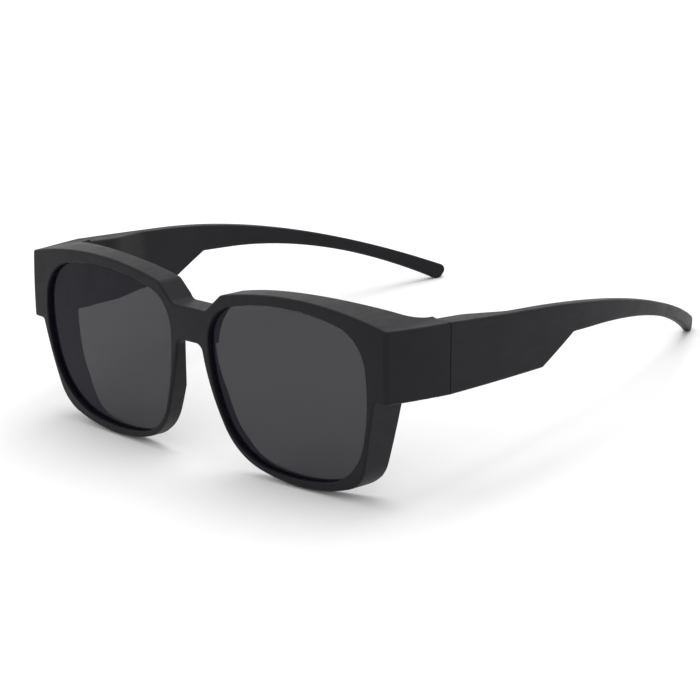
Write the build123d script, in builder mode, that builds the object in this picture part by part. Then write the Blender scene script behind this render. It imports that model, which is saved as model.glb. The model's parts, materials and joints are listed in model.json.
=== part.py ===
from build123d import *
import math
import os

os.makedirs("parts", exist_ok=True)

# Fit-over sunglasses. Each piece is drawn as worn: X runs to the wearer's left, Y from the
# front face back along the temples, Z up, with z = 0 on the lens centre line. At the end
# every piece is leaned back together, so that the glasses stand on rims and temple tips.

# Eye openings, seen from the front, as shares of the lens width and height. Corners go
# top nose, top outer, low outer, low nose, and sides go top, outer, bottom, nose
lens_width = 55.8
lens_height = 46.9
openings_gap = 14.8
corner_across_shares = (0.010, 0.963, 0.873, 0.154)
corner_up_shares = (0.885, 0.913, 0.087, 0.070)
side_across_shares = (0.522, 1.000, 0.495, 0.000)
side_up_shares = (1.000, 0.609, 0.000, 0.673)
opening_top_nose_radius = 11.0
opening_top_outer_radius = 12.3
opening_low_outer_radius = 19.2
opening_low_nose_radius = 18.3

# Outline of the front, seen from the front. Faces are widths of plastic beside the opening,
# shares place points across the lens width or down the height of the rims
side_face = 6.7
rim_outer_face = 2.4
nose_face = 2.8
rim_bottom_face = 2.2
rim_outer_mid_shares = (0.993, 0.31)
rim_low_outer_shares = (0.928, 0.80)
rim_bottom_share = 0.5
rim_low_nose_shares = (0.131, 0.80)
nose_mid_shares = (0.004, 0.16)
rim_low_outer_radius = 11.0
rim_low_nose_radius = 18.0
brow_face = 2.9
brow_fall = 3.8
brow_peak_share = 0.557
brow_foot_across = 4.6
brow_foot_fall = 3.1
brow_end_bend_radius = 12.0
bridge_flat = 12.6
bridge_fall = 8.3
bridge_height = 9.6
bridge_bend_radius = 3.0
nose_arch_radius = 2.5
side_height = 19.2
step_radius = 1.0

# Curved front face: one arc from top to bottom, swept round a far upright axis
drop_radius = 180.0
drop_centre_height = 16.0
wrap_radius = 680.0

# Depth of the front, seen from above
brow_depth = 7.6
side_depth = 22.6
corner_depth = 3.2
side_flare = 4.0
side_taper = 0.9
side_wall = 2.4
sweep_share = 0.62
sweep_lead = 5.2
sweep_radius = 88.0
sweep_end_share = 0.925
hood_depth = 13.9
hood_thickness = 3.0
side_floor = 2.4
side_hollow_depth = 13.0
side_hollow_radius = 2.5
bridge_run_out = 1.4
nose_top_depth = 4.7
nose_mid_depth = 6.0
nose_mid_drop = 13.5
nose_low_depth = 7.6
nose_low_drop = 27.5
nose_bend_radius = 12.0
nose_flare_start = 2.4
rim_depth = 4.2

# Rounded and chamfered edges of the front
corner_round = 1.5
edge_round = 0.7
opening_chamfer = 0.3

# Lenses, their grooves, and the rim behind them: a thin lip, and a wider room past it
lens_recess = 1.4
lens_thickness = 1.1
lens_bite = 0.75
groove_clearance = 0.05
rear_lip = 0.5
rear_relief = 1.4

# Temples, seen from the side: distances back from the front face, and drops of the upper
# edge below the side's top and rises of the lower edge above the side's bottom. Shares place
# the middle of each edge's bend between the bend's start and the tip
seam_gap = 0.25
temple_length = 156.3
temple_straight_end = 54.0
temple_straight_drop = 1.5
upper_bend_share = 0.547
upper_bend_drop_share = 0.334
tip_top_drop = 25.0
tip_height = 4.2
tip_slant = 2.6
panel_end = 58.0
panel_end_rise = 1.1
arm_start = 71.0
arm_start_rise = 8.6
arm_bend_start = 83.0
arm_bend_start_rise = 8.4
lower_bend_share = 0.523
lower_bend_drop_share = 0.288
notch_radius = 1.2
tip_round = 1.9

# Temples, seen from above
temple_bow = 1.4
temple_bow_back = 60.0
temple_curl = 23.4
block_margin = 1.1
panel_thin_start = 46.0
panel_thickness = 3.8
arm_thickness = 2.9
tip_side_share = 0.94
inner_bend_radius = 12.0
side_facing_share = 0.5

# Hinges: five knuckles on one screw, with leaves let into the plastic
knuckle_radius = 1.8
hinge_height = 9.0
hinge_rise = 9.2
knuckle_gap = 0.1
knuckle_clearance = 0.15
leaf_thickness = 1.0
leaf_inset = 0.6
leaf_length = 9.4
leaf_clearance = 0.1
hinge_screw_radius = 0.7
hinge_bore_clearance = 0.05
hinge_screw_head_radius = 1.3
hinge_screw_head_height = 0.7
driver_slot_width = 0.3
driver_slot_depth = 0.3

# Small screws that hold the leaves
leaf_screw_radius = 0.6
leaf_screw_length = 4.2
leaf_screw_head_radius = 1.15
leaf_screw_head_height = 0.4
leaf_screw_first = 3.8
leaf_screw_pitch = 3.6
leaf_screw_clearance = 0.03

# Spare length of cutting tools past the faces that they cut
overrun = 6.0

# Values worked out from the sizes above
nose_edge = openings_gap / 2
lens_outer = nose_edge + lens_width
eye_middle = nose_edge + lens_width / 2
nose_top_across = nose_edge - nose_face
flare_reach = 2 * nose_face
half_width = lens_outer + side_face
seam_half_width = half_width + side_flare
rim_low = -lens_height / 2 - rim_bottom_face
brow_height = lens_height / 2 + brow_face
corner_height = brow_height - brow_fall
side_bottom = corner_height - side_height
bridge_top = brow_height - bridge_fall
bridge_bottom = bridge_top - bridge_height
front_high = brow_height + overrun
temple_front = side_depth + seam_gap
hinge_wall_across = half_width - side_wall
sweep_start = nose_edge + sweep_share * lens_width
sweep_end = side_depth - sweep_lead
sweep_turn = math.atan2(hinge_wall_across - sweep_start, sweep_end - brow_depth)
sweep_end_radius = sweep_end_share * sweep_lead / math.tan(sweep_turn / 2)
hinge_across = hinge_wall_across + leaf_inset - knuckle_radius
hinge_back = side_depth + seam_gap / 2
hinge_height_middle = side_bottom + hinge_rise
hinge_low = hinge_height_middle - hinge_height / 2
hinge_high = hinge_height_middle + hinge_height / 2
knuckle_pitch = (hinge_height + knuckle_gap) / 5
knuckle_height = knuckle_pitch - knuckle_gap
relief_radius = knuckle_radius + knuckle_clearance
leaf_back = hinge_across + knuckle_radius
leaf_face = leaf_back - leaf_thickness
block_end = hinge_back + leaf_length + block_margin
groove_bite = lens_bite + groove_clearance
tip_turn = 2 * math.atan2(temple_curl + temple_bow, temple_length - temple_bow_back)
tip_slope = math.tan(math.pi / 4 + tip_turn / 2)
tip_side_round = tip_side_share * arm_thickness / (tip_slope + 1 / tip_slope)
rearward = (0, 1, 0)
front_view = Plane.XZ.offset(overrun)


def eye_point(across_share, up_share):
    """A point of the eye opening, from shares of its width and height."""
    return (nose_edge + across_share * lens_width, up_share * lens_height - lens_height / 2)


def eye_outline(grown):
    """The left eye opening in flat coordinates, grown all round by a distance."""
    corners = [eye_point(*shares) for shares in zip(corner_across_shares, corner_up_shares)]
    sides = [eye_point(*shares) for shares in zip(side_across_shares, side_up_shares)]
    radii = (
        opening_top_nose_radius,
        opening_top_outer_radius,
        opening_low_outer_radius,
        opening_low_nose_radius,
    )
    with BuildSketch() as eye:
        with BuildLine():
            ThreePointArc(corners[0], sides[0], corners[1])
            ThreePointArc(corners[1], sides[1], corners[2])
            ThreePointArc(corners[2], sides[2], corners[3])
            ThreePointArc(corners[3], sides[3], corners[0])
        make_face()
        for corner, radius in zip(corners, radii):
            fillet(eye.vertices().sort_by_distance(corner)[0], radius=radius)
        if grown:
            offset(amount=grown)
    return eye.sketch


def behind_front(depth):
    """Everything that lies more than a depth behind the curved front face."""
    lead = drop_radius - math.sqrt(drop_radius**2 - drop_centre_height**2)
    arc_centre = 2 * wrap_radius - drop_radius + lead
    with BuildPart() as region:
        with BuildSketch(Plane.YZ):
            with Locations((arc_centre, drop_centre_height)):
                Circle(drop_radius - depth)
            with Locations((2 * wrap_radius, 0)):
                Rectangle(2 * temple_length, 2 * front_high, mode=Mode.INTERSECT)
        revolve(axis=Axis((0, wrap_radius, 0), (0, 0, 1)))
    return region.part


def eye_slab(grown, front_depth, rear_depth, shift=(0, 0)):
    """A curved slab of the shifted eye outline between two depths behind the front face."""
    with BuildPart() as slab:
        with BuildSketch(front_view):
            with Locations(shift):
                add(eye_outline(grown))
        extrude(amount=overrun + side_depth, dir=rearward)
        add(behind_front(front_depth), mode=Mode.INTERSECT)
        add(behind_front(rear_depth), mode=Mode.SUBTRACT)
    return slab.part


def outline_edges(faces):
    """The edges around a group of joined faces, without the edges between them."""
    edges = [edge for face in faces for edge in face.edges()]
    return ShapeList(edge for edge in edges if edges.count(edge) == 1)


def between(start, end, along_share, down_share):
    """A point between two others, from a share of each of the distances between them."""
    return (
        start.X + along_share * (end.X - start.X),
        start.Y + down_share * (end.Y - start.Y),
    )


def rim_point(across_share, down_share):
    """A point of the rim outline, from shares of the lens width and of the rim's drop."""
    return (nose_edge + across_share * lens_width, down_share * rim_low)


# Outlines of the front, left half: seen from the front, and seen from above

with BuildSketch() as front_outline:
    brow_end = (half_width, corner_height)
    brow_foot = (nose_edge + brow_foot_across, brow_height - brow_foot_fall)
    bridge_end = (bridge_flat / 2, bridge_top)
    rim_outer_top = (lens_outer + rim_outer_face, side_bottom)
    rim_low_outer = rim_point(*rim_low_outer_shares)
    rim_low_nose = rim_point(*rim_low_nose_shares)
    nose_top = (nose_top_across, bridge_bottom)
    with BuildLine():
        Polyline(
            brow_end,
            (seam_half_width + overrun, corner_height),
            (seam_half_width + overrun, side_bottom),
            rim_outer_top,
        )
        ThreePointArc(rim_outer_top, rim_point(*rim_outer_mid_shares), rim_low_outer)
        ThreePointArc(rim_low_outer, rim_point(rim_bottom_share, 1), rim_low_nose)
        ThreePointArc(rim_low_nose, rim_point(*nose_mid_shares), nose_top)
        Polyline(nose_top, (0, bridge_bottom), (0, bridge_top), bridge_end, brow_foot)
        brow_peak = (nose_edge + brow_peak_share * lens_width, brow_height)
        ThreePointArc(brow_foot, brow_peak, brow_end)
    make_face()
    bends = (
        (brow_end, brow_end_bend_radius),
        (rim_outer_top, step_radius),
        (rim_low_outer, rim_low_outer_radius),
        (rim_low_nose, rim_low_nose_radius),
        (nose_top, nose_arch_radius),
        (bridge_end, bridge_bend_radius),
        (brow_foot, bridge_bend_radius),
    )
    for bend, radius in bends:
        fillet(front_outline.vertices().sort_by_distance(bend)[0], radius=radius)

with BuildSketch(Plane.XY.offset(rim_low - overrun)) as plan_outline:
    with BuildLine():
        FilletPolyline(
            (0, brow_depth),
            (sweep_start, brow_depth),
            (hinge_wall_across, sweep_end),
            (hinge_wall_across, side_depth),
            radius=(sweep_radius, sweep_end_radius),
        )
        Line((hinge_wall_across, side_depth), (seam_half_width, side_depth))
        ThreePointArc(
            (seam_half_width, side_depth),
            (half_width, corner_depth),
            (half_width - side_taper, 0),
        )
        Polyline(
            (half_width - side_taper, 0),
            (half_width - side_taper, -overrun),
            (0, -overrun),
            (0, brow_depth),
        )
    make_face()


def leaf_screw_places(direction):
    """Where the two screws of a leaf stand on its inner face."""
    return [
        (
            leaf_face,
            hinge_back + direction * (leaf_screw_first + index * leaf_screw_pitch),
            hinge_height_middle,
        )
        for index in range(2)
    ]


def along_x(places):
    """Planes at some places, with their upright direction along the X axis."""
    return [Plane(place, x_dir=(0, 1, 0), z_dir=(1, 0, 0)) for place in places]


def hinge_room(direction):
    """What is cut from the plastic for one leaf: direction is -1 forward, 1 rearward."""
    with BuildPart() as room:
        with Locations((hinge_across, hinge_back, hinge_low - leaf_clearance)):
            Cylinder(
                relief_radius,
                hinge_height + hinge_screw_head_height + 2 * leaf_clearance,
                align=(Align.CENTER, Align.CENTER, Align.MIN),
            )
        length = leaf_length + leaf_clearance
        with Locations((leaf_back, hinge_back + direction * length / 2, hinge_height_middle)):
            Box(
                2 * knuckle_radius,
                length,
                hinge_height + 2 * leaf_clearance,
                align=(Align.MAX, Align.CENTER, Align.CENTER),
            )
        with Locations(*along_x(leaf_screw_places(direction))):
            Cylinder(
                leaf_screw_radius + leaf_screw_clearance,
                leaf_screw_length + leaf_clearance,
                align=(Align.CENTER, Align.CENTER, Align.MIN),
            )
    return room.part


def hinge_leaf(direction, knuckles):
    """A leaf plate with the knuckles at some of the five places, counted from the bottom."""
    with BuildPart() as leaf:
        plate_middle = hinge_back + direction * leaf_length / 2
        with Locations((leaf_face, plate_middle, hinge_height_middle)):
            Box(
                leaf_thickness,
                leaf_length,
                hinge_height,
                align=(Align.MIN, Align.CENTER, Align.CENTER),
            )
        far_corners = leaf.edges().filter_by(Axis.X).sort_by(Axis.Y)[:: -direction][:2]
        fillet(far_corners, radius=leaf_thickness)
        with Locations((hinge_across, hinge_back, hinge_height_middle)):
            Cylinder(relief_radius, hinge_height, mode=Mode.SUBTRACT)
        for knuckle in knuckles:
            height = hinge_low + knuckle * knuckle_pitch
            with Locations((hinge_across, hinge_back, height)):
                Cylinder(
                    knuckle_radius,
                    knuckle_height,
                    align=(Align.CENTER, Align.CENTER, Align.MIN),
                )
            with Locations((leaf_face, hinge_back + direction * relief_radius / 2, height)):
                Box(
                    leaf_thickness,
                    relief_radius,
                    knuckle_height,
                    align=(Align.MIN, Align.CENTER, Align.MIN),
                )
        with Locations((hinge_across, hinge_back, hinge_height_middle)):
            Cylinder(
                hinge_screw_radius + hinge_bore_clearance,
                hinge_height,
                mode=Mode.SUBTRACT,
            )
        with Locations(*along_x(leaf_screw_places(direction))):
            Cylinder(
                leaf_screw_radius + leaf_screw_clearance,
                2 * leaf_thickness,
                mode=Mode.SUBTRACT,
            )
    return leaf.part


def screw(plane, shank_radius, length, head_radius, head_height):
    """A slotted screw whose head seats at a plane, with its shank along the plane's normal."""
    with BuildPart() as fastener:
        with Locations(plane):
            Cylinder(shank_radius, length, align=(Align.CENTER, Align.CENTER, Align.MIN))
            Cylinder(head_radius, head_height, align=(Align.CENTER, Align.CENTER, Align.MAX))
        with Locations(plane.offset(-head_height)):
            Box(
                2 * head_radius,
                driver_slot_width,
                driver_slot_depth,
                align=(Align.CENTER, Align.CENTER, Align.MIN),
                mode=Mode.SUBTRACT,
            )
    return fastener.part


def leaf_screws(direction):
    """The two screws of one leaf."""
    with BuildPart() as screws:
        for plane in along_x(leaf_screw_places(direction)):
            add(
                screw(
                    plane,
                    leaf_screw_radius,
                    leaf_screw_length,
                    leaf_screw_head_radius,
                    leaf_screw_head_height,
                )
            )
    return screws.part


# Front frame: the left half is made and mirrored

with BuildPart() as rim_room:
    with Locations((0, -overrun, rim_low - overrun)):
        Box(
            lens_outer,
            overrun + side_depth,
            front_high - rim_low + overrun,
            align=(Align.MIN, Align.MIN, Align.MIN),
        )
    add(behind_front(rim_depth), mode=Mode.SUBTRACT)

with BuildPart() as depth_room:
    extrude(plan_outline.sketch, amount=front_high - rim_low + overrun)
    add(rim_room.part)

with BuildPart() as front_frame:
    with BuildSketch(front_view):
        add(front_outline.sketch)
    extrude(amount=overrun + side_depth, dir=rearward)
    add(depth_room.part, mode=Mode.INTERSECT)
    add(behind_front(0), mode=Mode.INTERSECT)
    front_corner = (half_width, corner_depth, hinge_height_middle)
    fillet(front_frame.edges().sort_by_distance(front_corner)[0], radius=corner_round)
    skin = front_frame.faces().sort_by_distance(front_corner)[:3]
    side_edges = outline_edges(skin).group_by(Axis.X)[1:]
    skin_edges = ShapeList(edge for group in side_edges for edge in group)
    fillet(skin_edges.sort_by(Axis.Y)[:-1], radius=edge_round)

    # Eye opening right through
    with BuildSketch(front_view):
        add(eye_outline(0))
    extrude(amount=2 * overrun + side_depth, dir=rearward, mode=Mode.SUBTRACT)
    pierced = front_frame.faces().filter_by(lambda face: len(face.inner_wires()) == 1)
    chamfer(pierced.sort_by(Axis.Y)[0].inner_wires()[0].edges(), length=opening_chamfer)

    # Hollow of the side block, under the hood and open to the rear
    with BuildSketch(Plane.XZ.offset(side_hollow_depth - side_depth)) as side_hollow:
        with Locations((0, -hood_thickness)):
            add(front_outline.sketch)
        hollow_low = side_bottom + side_floor
        with Locations((eye_middle, hollow_low)):
            Rectangle(
                hinge_wall_across - eye_middle,
                brow_height,
                align=(Align.MIN, Align.MIN),
                mode=Mode.INTERSECT,
            )
        outer_corners = side_hollow.vertices().group_by(Axis.X)[-1]
        fillet(outer_corners, radius=side_hollow_radius)
    extrude(amount=side_depth, dir=rearward, mode=Mode.SUBTRACT)

    # The floor of that hollow and the rim walls end further forward than the block
    with Locations((eye_middle, hood_depth, hollow_low + side_hollow_radius)):
        Box(
            hinge_wall_across - eye_middle,
            side_depth,
            lens_height,
            align=(Align.MIN, Align.MIN, Align.MAX),
            mode=Mode.SUBTRACT,
        )

    # Bridge and nose sides are shallower than the brow
    with BuildSketch(Plane.YZ):
        with BuildLine():
            FilletPolyline(
                (nose_low_depth, bridge_bottom - nose_low_drop),
                (nose_mid_depth, bridge_bottom - nose_mid_drop),
                (nose_top_depth, bridge_bottom),
                (brow_depth, bridge_top + bridge_run_out),
                radius=nose_bend_radius,
            )
            Polyline(
                (brow_depth, bridge_top + bridge_run_out),
                (brow_depth + overrun, bridge_top + bridge_run_out),
                (brow_depth + overrun, bridge_bottom - nose_low_drop),
                (nose_low_depth, bridge_bottom - nose_low_drop),
            )
        make_face()
    extrude(amount=nose_edge + lens_width / 4, mode=Mode.SUBTRACT)

    # The nose sides flare outward behind the lens groove, up to the bridge's underside
    with BuildSketch(Plane.XY.offset(rim_low)):
        with BuildLine():
            Polyline(
                (nose_top_across - nose_arch_radius, nose_flare_start - nose_arch_radius),
                (nose_top_across + flare_reach, nose_flare_start + flare_reach),
                (nose_top_across - nose_arch_radius, nose_flare_start + flare_reach),
                close=True,
            )
        make_face()
    extrude(amount=bridge_bottom - rim_low, mode=Mode.SUBTRACT)

    # Groove for the lens
    groove_front = lens_recess - groove_clearance
    groove_rear = lens_recess + lens_thickness + groove_clearance
    add(eye_slab(groove_bite, groove_front, groove_rear), mode=Mode.SUBTRACT)

    # Past the lip behind the lens, the room is wider towards the nose and the brow
    lip_rear = groove_rear + rear_lip
    wider = (-rear_relief, rear_relief)
    add(eye_slab(0, lip_rear, side_depth, shift=wider), mode=Mode.SUBTRACT)
    add(hinge_room(-1), mode=Mode.SUBTRACT)
    mirror(about=Plane.YZ)

# Lens

with BuildPart() as lens_left:
    add(eye_slab(lens_bite, lens_recess, lens_recess + lens_thickness))

# Temple

with BuildSketch(Plane.YZ) as temple_side:
    tip_top = Vector(temple_length, corner_height - tip_top_drop)
    tip_low = Vector(temple_length - tip_slant, corner_height - tip_top_drop - tip_height)
    straight_end = Vector(temple_straight_end, corner_height - temple_straight_drop)
    panel_corner = (panel_end, side_bottom + panel_end_rise)
    arm_corner = (arm_start, side_bottom + arm_start_rise)
    arm_bend = Vector(arm_bend_start, side_bottom + arm_bend_start_rise)
    upper_bend = between(straight_end, tip_top, upper_bend_share, upper_bend_drop_share)
    lower_bend = between(arm_bend, tip_low, lower_bend_share, lower_bend_drop_share)
    with BuildLine():
        Polyline(
            straight_end,
            (temple_front, corner_height),
            (temple_front, side_bottom),
            panel_corner,
            arm_corner,
            arm_bend,
        )
        ThreePointArc(arm_bend, lower_bend, tip_low)
        Line(tip_low, tip_top)
        ThreePointArc(tip_top, upper_bend, straight_end)
    make_face()
    bends = (
        (panel_corner, notch_radius),
        (arm_corner, notch_radius),
        (tip_low, tip_round),
        (tip_top, tip_round),
    )
    for bend, radius in bends:
        fillet(temple_side.vertices().sort_by_distance(bend)[0], radius=radius)

with BuildSketch(Plane.XY.offset(rim_low - overrun)) as temple_plan:
    bow = (seam_half_width + temple_bow, temple_bow_back)
    inner_bow = (seam_half_width + temple_bow - panel_thickness, temple_bow_back)
    tip = (seam_half_width - temple_curl, temple_length)
    inner_tip = (seam_half_width - temple_curl - arm_thickness, temple_length)
    block_corner = (hinge_wall_across, block_end)
    panel_start = (seam_half_width + temple_bow - panel_thickness, panel_thin_start)
    with BuildLine():
        TangentArc(bow, (seam_half_width, temple_front), tangent=(0, -1))
        Polyline(
            (seam_half_width, temple_front),
            (hinge_wall_across, temple_front),
            block_corner,
            panel_start,
            inner_bow,
        )
        TangentArc(inner_bow, inner_tip, tangent=(0, 1))
        Line(inner_tip, tip)
        TangentArc(bow, tip, tangent=(0, 1))
    make_face()
    bends = (
        (block_corner, inner_bend_radius),
        (panel_start, inner_bend_radius),
        (tip, tip_side_round),
        (inner_tip, tip_side_round),
    )
    for bend, radius in bends:
        fillet(temple_plan.vertices().sort_by_distance(bend)[0], radius=radius)

with BuildPart() as temple_left:
    extrude(temple_side.sketch, amount=seam_half_width + overrun)
    extrude(temple_plan.sketch, amount=front_high - rim_low + overrun, mode=Mode.INTERSECT)
    faces = temple_left.faces()
    outer_skin = faces.filter_by(lambda face: face.normal_at().X > side_facing_share)
    inner_skin = faces.filter_by(lambda face: face.normal_at().X < -side_facing_share)
    for skin in (outer_skin, inner_skin):
        fillet(outline_edges(skin).sort_by(Axis.Y)[1:], radius=edge_round)
    add(hinge_room(1), mode=Mode.SUBTRACT)

# Hinge

with BuildPart() as hinge_front_leaf_left:
    add(hinge_leaf(-1, (0, 2, 4)))

with BuildPart() as hinge_temple_leaf_left:
    add(hinge_leaf(1, (1, 3)))

with BuildPart() as hinge_screw_left:
    add(
        screw(
            Plane((hinge_across, hinge_back, hinge_high), z_dir=(0, 0, -1)),
            hinge_screw_radius,
            hinge_height,
            hinge_screw_head_radius,
            hinge_screw_head_height,
        )
    )

with BuildPart() as front_leaf_screws_left:
    add(leaf_screws(-1))

with BuildPart() as temple_leaf_screws_left:
    add(leaf_screws(1))

# The right side is the left side mirrored

left_pieces = {
    "lens": lens_left,
    "temple": temple_left,
    "hinge_front_leaf": hinge_front_leaf_left,
    "hinge_temple_leaf": hinge_temple_leaf_left,
    "hinge_screw": hinge_screw_left,
    "front_leaf_screws": front_leaf_screws_left,
    "temple_leaf_screws": temple_leaf_screws_left,
}
pieces = {"front_frame": front_frame.part}
for name, left_piece in left_pieces.items():
    with BuildPart() as right_piece:
        mirror(left_piece.part, about=Plane.YZ)
    pieces[name + "_left"] = left_piece.part
    pieces[name + "_right"] = right_piece.part


def lowest(piece, lean):
    """Height of the lowest point of a piece that is leaned back by an angle."""
    return piece.rotate(Axis.X, -lean).bounding_box().min.Z


# Lean back until rims and temple tips stand level, then lift and centre on the floor
lean = 0
for step in range(4):
    drop = lowest(temple_left.part, lean) - lowest(front_frame.part, lean)
    lean += math.degrees(math.atan2(drop, temple_length - brow_depth))
leaned = [piece.rotate(Axis.X, -lean) for piece in pieces.values()]
box = Compound(children=leaned).bounding_box()
standing = Location((0, -(box.min.Y + box.max.Y) / 2, -box.min.Z), (-lean, 0, 0))

for node, piece in pieces.items():
    placed = piece.moved(standing)
    placed.label = node
    export_step(placed, "parts/" + node + ".step")
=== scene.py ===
import json

import bpy
from mathutils import Matrix, Vector

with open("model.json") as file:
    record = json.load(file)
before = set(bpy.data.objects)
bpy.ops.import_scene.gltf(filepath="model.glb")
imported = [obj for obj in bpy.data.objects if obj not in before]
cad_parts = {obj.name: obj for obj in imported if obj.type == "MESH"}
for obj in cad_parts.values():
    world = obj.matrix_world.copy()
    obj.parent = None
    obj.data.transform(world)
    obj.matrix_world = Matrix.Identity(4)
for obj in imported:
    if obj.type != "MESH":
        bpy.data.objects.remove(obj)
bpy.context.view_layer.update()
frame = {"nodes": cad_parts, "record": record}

scene = bpy.context.scene
scene.view_settings.view_transform = "Standard"

# Camera, in metres, with its own right, up and backward directions
CAMERA_PLACE = (0.513328, -0.513184, 0.269228)
CAMERA_RIGHT = (0.715615, 0.692559, -0.090869)
CAMERA_UP = (-0.173825, 0.302572, 0.937142)
CAMERA_BACK = (0.67652, -0.654838, 0.336909)
SENSOR_MM = 36.0
LENS_MM = 136.2857
NEAREST = 0.01
FURTHEST = 50.0

# World and lamp
WHITE = (1.0, 1.0, 1.0)
WORLD_SEEN = 1.0
WORLD_FILL = 0.86
LAMP_SIZE = 0.9
LAMP_PLACE = (-0.05, 0.3, 1.2)
LAMP_POWER = 6.2

# Floor, with the distances from its middle at which its painted glow starts and is full:
# painted light that whitens the floor away from the object and leaves painted shade near it
FLOOR_SIZE = 8.0
FLOOR_TONES = ((0.965,) * 3, (0.97,) * 3)
FLOOR_GRAIN = 14.0
FLOOR_PAINTED_GLOW = 0.16
PAINTED_GLOW_START = 0.09
PAINTED_GLOW_FULL = 0.5

# Noise scales are in features per metre, and the depths of bumps in metres
NOISE_LOW = 0.3
NOISE_HIGH = 0.7

# Black plastic
PLASTIC_TONES = ((0.0034, 0.0036, 0.0054), (0.0047, 0.0050, 0.0072))
PLASTIC_ROUGHNESS = (0.45, 0.55)
PLASTIC_SPECULAR = 0.2
PLASTIC_CLOUDS = 90.0
PLASTIC_MARKS = 420.0
MARKS_STRETCH = (1.0, 0.35, 1.0)
PLASTIC_GRAIN = 5200.0
GRAIN_DEPTH = 0.00001
GRAIN_STRENGTH = 0.25
PLASTIC_WAVES = 260.0
PLASTIC_WAVE_DEPTH = 0.00004
PLASTIC_WAVE_STRENGTH = 0.12

# Smoke lens, and the share of the light that each of its faces stops
LENS_TONES = ((0.0060, 0.0050, 0.0118), (0.0074, 0.0063, 0.0136))
LENS_ROUGHNESS = (0.05, 0.08)
LENS_SPECULAR = 0.11
LENS_COVER = 0.77
LENS_CLOUDS = 35.0
LENS_FILM = 70.0
LENS_WAVES = 45.0
LENS_WAVE_DEPTH = 0.00003
LENS_WAVE_STRENGTH = 0.15

# Hinge steel
STEEL_TONES = ((0.035, 0.035, 0.038), (0.06, 0.06, 0.064))
STEEL_ROUGHNESS = (0.26, 0.42)
STEEL_LINES = 1500.0
LINES_STRETCH = (1.0, 1.0, 0.12)
LINE_DEPTH = 0.00001
LINE_STRENGTH = 0.3


def new_material(name):
    """A node material with its tree emptied but for an output and a Principled shader."""
    material = bpy.data.materials.new(name)
    material.use_nodes = True
    tree = material.node_tree
    tree.nodes.clear()
    output = tree.nodes.new("ShaderNodeOutputMaterial")
    shader = tree.nodes.new("ShaderNodeBsdfPrincipled")
    tree.links.new(shader.outputs["BSDF"], output.inputs["Surface"])
    return material, tree, shader


def noise(tree, scale, detail, roughness=0.5, stretch=(1.0, 1.0, 1.0)):
    """A noise value at a point of the object, in the object's own metres."""
    coordinates = tree.nodes.new("ShaderNodeTexCoord")
    mapping = tree.nodes.new("ShaderNodeMapping")
    mapping.inputs["Scale"].default_value = stretch
    tree.links.new(coordinates.outputs["Object"], mapping.inputs["Vector"])
    texture = tree.nodes.new("ShaderNodeTexNoise")
    texture.inputs["Scale"].default_value = scale
    texture.inputs["Detail"].default_value = detail
    texture.inputs["Roughness"].default_value = roughness
    tree.links.new(mapping.outputs["Vector"], texture.inputs["Vector"])
    return texture.outputs["Fac"]


def spread(tree, value, low, high, start=NOISE_LOW, end=NOISE_HIGH):
    """Maps a value between start and end to the range from low to high."""
    ranged = tree.nodes.new("ShaderNodeMapRange")
    ranged.inputs["From Min"].default_value = start
    ranged.inputs["From Max"].default_value = end
    ranged.inputs["To Min"].default_value = low
    ranged.inputs["To Max"].default_value = high
    tree.links.new(value, ranged.inputs["Value"])
    return ranged.outputs["Result"]


def two_tone(tree, value, tones):
    """Mixes a dark and a light colour by a noise value."""
    ramp = tree.nodes.new("ShaderNodeValToRGB")
    for stop, place, tone in zip(ramp.color_ramp.elements, (NOISE_LOW, NOISE_HIGH), tones):
        stop.position = place
        stop.color = (*tone, 1.0)
    tree.links.new(value, ramp.inputs["Fac"])
    return ramp.outputs["Color"]


def bumps(tree, shader, layers):
    """Stacks bump layers, each a height, its depth and its strength, on the shader's normal."""
    normal = None
    for height, depth, strength in layers:
        bump = tree.nodes.new("ShaderNodeBump")
        bump.inputs["Strength"].default_value = strength
        bump.inputs["Distance"].default_value = depth
        tree.links.new(height, bump.inputs["Height"])
        if normal is not None:
            tree.links.new(normal, bump.inputs["Normal"])
        normal = bump.outputs["Normal"]
    tree.links.new(normal, shader.inputs["Normal"])


def maths(tree, operation, first, second):
    """The result of a maths operation on two values."""
    node = tree.nodes.new("ShaderNodeMath")
    node.operation = operation
    tree.links.new(first, node.inputs[0])
    tree.links.new(second, node.inputs[1])
    return node.outputs[0]


def black_plastic():
    """Injection-moulded satin black: fine grain, faint flow clouds and handling marks."""
    material, tree, shader = new_material("black_plastic_satin")
    clouds = noise(tree, PLASTIC_CLOUDS, detail=5.0)
    tree.links.new(two_tone(tree, clouds, PLASTIC_TONES), shader.inputs["Base Color"])
    marks = noise(tree, PLASTIC_MARKS, detail=6.0, roughness=0.6, stretch=MARKS_STRETCH)
    tree.links.new(spread(tree, marks, *PLASTIC_ROUGHNESS), shader.inputs["Roughness"])
    grain = noise(tree, PLASTIC_GRAIN, detail=2.0)
    waves = noise(tree, PLASTIC_WAVES, detail=2.0)
    layers = [
        (grain, GRAIN_DEPTH, GRAIN_STRENGTH),
        (waves, PLASTIC_WAVE_DEPTH, PLASTIC_WAVE_STRENGTH),
    ]
    bumps(tree, shader, layers)
    shader.inputs["Specular IOR Level"].default_value = PLASTIC_SPECULAR
    return material


def smoke_lens():
    """Polished smoke grey sheet that lets a little of what is behind it through."""
    material, tree, shader = new_material("smoke_lens_tint")
    clouds = noise(tree, LENS_CLOUDS, detail=3.0)
    tree.links.new(two_tone(tree, clouds, LENS_TONES), shader.inputs["Base Color"])
    film = noise(tree, LENS_FILM, detail=2.0)
    tree.links.new(spread(tree, film, *LENS_ROUGHNESS), shader.inputs["Roughness"])
    waves = noise(tree, LENS_WAVES, detail=1.0)
    bumps(tree, shader, [(waves, LENS_WAVE_DEPTH, LENS_WAVE_STRENGTH)])
    shader.inputs["Specular IOR Level"].default_value = LENS_SPECULAR
    shader.inputs["Alpha"].default_value = LENS_COVER
    return material


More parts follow.
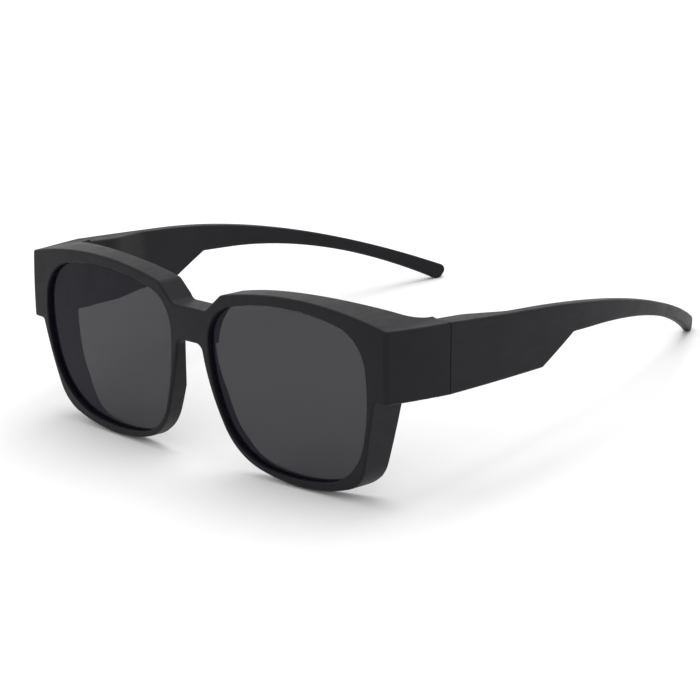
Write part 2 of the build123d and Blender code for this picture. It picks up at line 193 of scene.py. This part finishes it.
def hinge_steel():
    """Pressed steel with a black nickel finish and fine drawn lines."""
    material, tree, shader = new_material("hinge_steel_brushed")
    lines = noise(tree, STEEL_LINES, detail=4.0, stretch=LINES_STRETCH)
    tree.links.new(two_tone(tree, lines, STEEL_TONES), shader.inputs["Base Color"])
    tree.links.new(spread(tree, lines, *STEEL_ROUGHNESS), shader.inputs["Roughness"])
    bumps(tree, shader, [(lines, LINE_DEPTH, LINE_STRENGTH)])
    shader.inputs["Metallic"].default_value = 1.0
    return material


def seen_directly(tree):
    """One where a ray comes from the camera, a gloss or a clear surface, else zero."""
    path = tree.nodes.new("ShaderNodeLightPath").outputs
    seen = maths(tree, "MAXIMUM", path["Is Camera Ray"], path["Is Glossy Ray"])
    return maths(tree, "MAXIMUM", seen, path["Is Transmission Ray"])


def studio_floor():
    """White diffuse floor that keeps shadows, with a painted glow that turns it plain white
    away from the object and leaves painted shade near it.
    """
    material, tree, shader = new_material("studio_floor_white")
    grain = noise(tree, FLOOR_GRAIN, detail=3.0)
    tree.links.new(two_tone(tree, grain, FLOOR_TONES), shader.inputs["Base Color"])
    shader.inputs["Roughness"].default_value = 1.0
    shader.inputs["Specular IOR Level"].default_value = 0.0
    shader.inputs["Emission Color"].default_value = (*WHITE, 1.0)
    coordinates = tree.nodes.new("ShaderNodeTexCoord")
    distance = tree.nodes.new("ShaderNodeVectorMath")
    distance.operation = "LENGTH"
    tree.links.new(coordinates.outputs["Object"], distance.inputs[0])
    # Painted light: a camera-seen glow that rises with distance from the object, so the floor
    # near the object keeps a painted shade
    painted_glow_ramp = spread(tree, distance.outputs["Value"], 0.0, FLOOR_PAINTED_GLOW, PAINTED_GLOW_START, PAINTED_GLOW_FULL)
    painted_glow = maths(tree, "MULTIPLY", seen_directly(tree), painted_glow_ramp)
    tree.links.new(painted_glow, shader.inputs["Emission Strength"])
    return material


# Materials of the model's own pieces
finishes = {
    "black_plastic": black_plastic(),
    "smoke_lens": smoke_lens(),
    "hinge_steel": hinge_steel(),
}
for subpart in frame["record"]["subparts"]:
    materials = frame["nodes"][subpart["node"]].data.materials
    materials.clear()
    materials.append(finishes[subpart["material_slot"]])

# Floor
half = FLOOR_SIZE / 2
corners = [(-half, -half, 0.0), (half, -half, 0.0), (half, half, 0.0), (-half, half, 0.0)]
floor_mesh = bpy.data.meshes.new("studio_floor")
floor_mesh.from_pydata(corners, [], [(0, 1, 2, 3)])
floor_mesh.materials.append(studio_floor())
floor = bpy.data.objects.new("studio_floor", floor_mesh)
scene.collection.objects.link(floor)

# World: white where it is seen, softer where it lights the object
world = bpy.data.worlds.new("studio")
scene.world = world
world.use_nodes = True
world_tree = world.node_tree
background = world_tree.nodes["Background"]
background.inputs["Color"].default_value = (*WHITE, 1.0)
level = spread(world_tree, seen_directly(world_tree), WORLD_FILL, WORLD_SEEN, 0.0, 1.0)
world_tree.links.new(level, background.inputs["Strength"])

# One soft lamp above and behind, aimed at the object
lamp_data = bpy.data.lights.new("overhead", "AREA")
lamp_data.shape = "SQUARE"
lamp_data.size = LAMP_SIZE
lamp_data.energy = LAMP_POWER
lamp = bpy.data.objects.new("overhead", lamp_data)
lamp.location = LAMP_PLACE
lamp.rotation_euler = Vector(LAMP_PLACE).to_track_quat("Z", "Y").to_euler()
scene.collection.objects.link(lamp)

# Camera
camera_data = bpy.data.cameras.new("camera")
camera_data.sensor_width = SENSOR_MM
camera_data.lens = LENS_MM
camera_data.clip_start = NEAREST
camera_data.clip_end = FURTHEST
camera = bpy.data.objects.new("camera", camera_data)
turn = Matrix([CAMERA_RIGHT, CAMERA_UP, CAMERA_BACK]).transposed()
camera.matrix_world = Matrix.Translation(Vector(CAMERA_PLACE)) @ turn.to_4x4()
scene.collection.objects.link(camera)
scene.camera = camera
